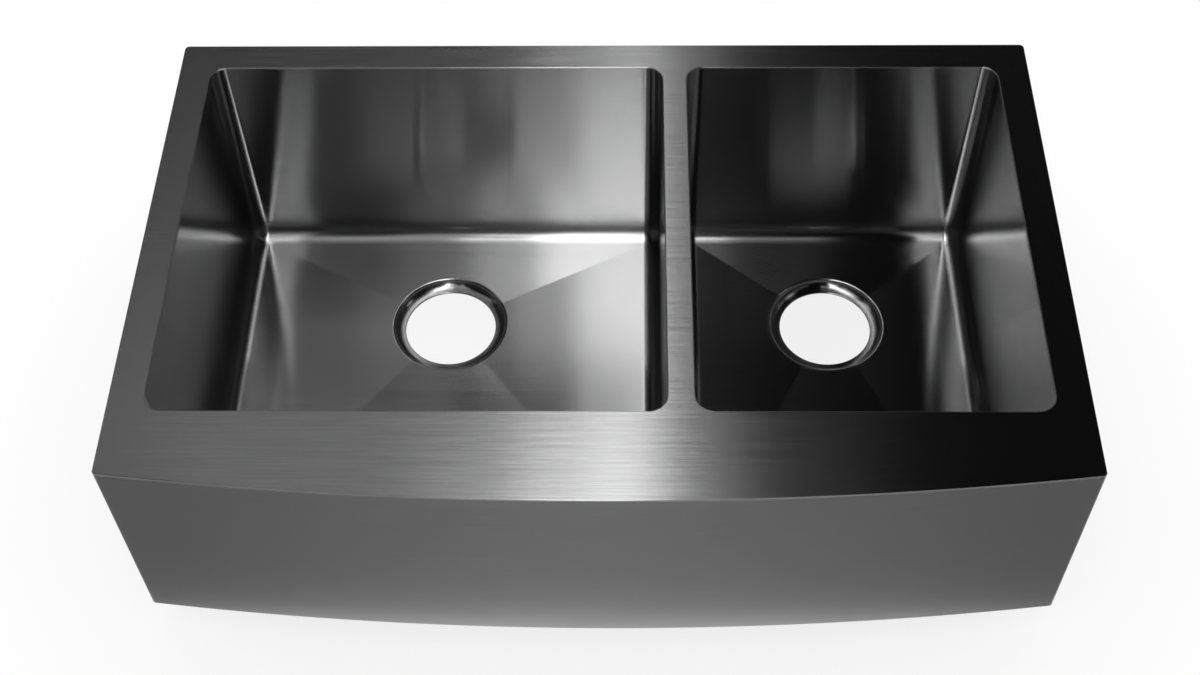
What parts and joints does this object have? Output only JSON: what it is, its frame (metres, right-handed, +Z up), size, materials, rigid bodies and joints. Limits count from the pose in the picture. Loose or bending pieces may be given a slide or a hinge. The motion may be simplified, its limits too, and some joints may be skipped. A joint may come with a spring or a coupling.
{
  "type": "double bowl apron front sink",
  "caption": "Farmhouse kitchen sink in brushed stainless sheet: a flat deck, a bowed apron front, a wide and a narrow straight-sided bowl with creased floors and rear-set drains.",
  "frame": {"origin": "middle of the footprint, level with the undersides of the drain wells", "axes": "+X to the right of someone who stands at the apron, +Y to the back, +Z up"},
  "size_m": [0.838, 0.529, 0.266],
  "materials": {
    "brushed_steel": "satin, brushed from side to side",
    "mill_steel": "plain mill sheet and weld metal, left as welded under the deck",
    "sound_pad": "matt moulded rubber with a fine grain"
  },
  "bodies": {
    "root": {"apron_bottom_lip": "brushed_steel", "apron_left_pad": "sound_pad", "apron_middle_pad": "sound_pad", "apron_panel": "brushed_steel", "apron_right_pad": "sound_pad", "apron_seam_weld": "mill_steel", "deck_plate": "brushed_steel", "left_apron_brace": "mill_steel", "left_bowl": "brushed_steel", "left_bowl_back_pad": "sound_pad", "left_bowl_floor_front_pad": "sound_pad", "left_bowl_floor_left_pad": "sound_pad", "left_bowl_floor_right_pad": "sound_pad", "left_bowl_front_pad": "sound_pad", "left_bowl_left_side_pad": "sound_pad", "left_bowl_right_side_pad": "sound_pad", "left_rim_weld": "mill_steel", "lip_seam_weld": "mill_steel", "right_apron_brace": "mill_steel", "right_bowl": "brushed_steel", "right_bowl_back_pad": "sound_pad", "right_bowl_floor_front_pad": "sound_pad", "right_bowl_floor_left_pad": "sound_pad", "right_bowl_floor_right_pad": "sound_pad", "right_bowl_front_pad": "sound_pad", "right_bowl_left_side_pad": "sound_pad", "right_bowl_right_side_pad": "sound_pad", "right_rim_weld": "mill_steel"}
  },
  "joints": []
}
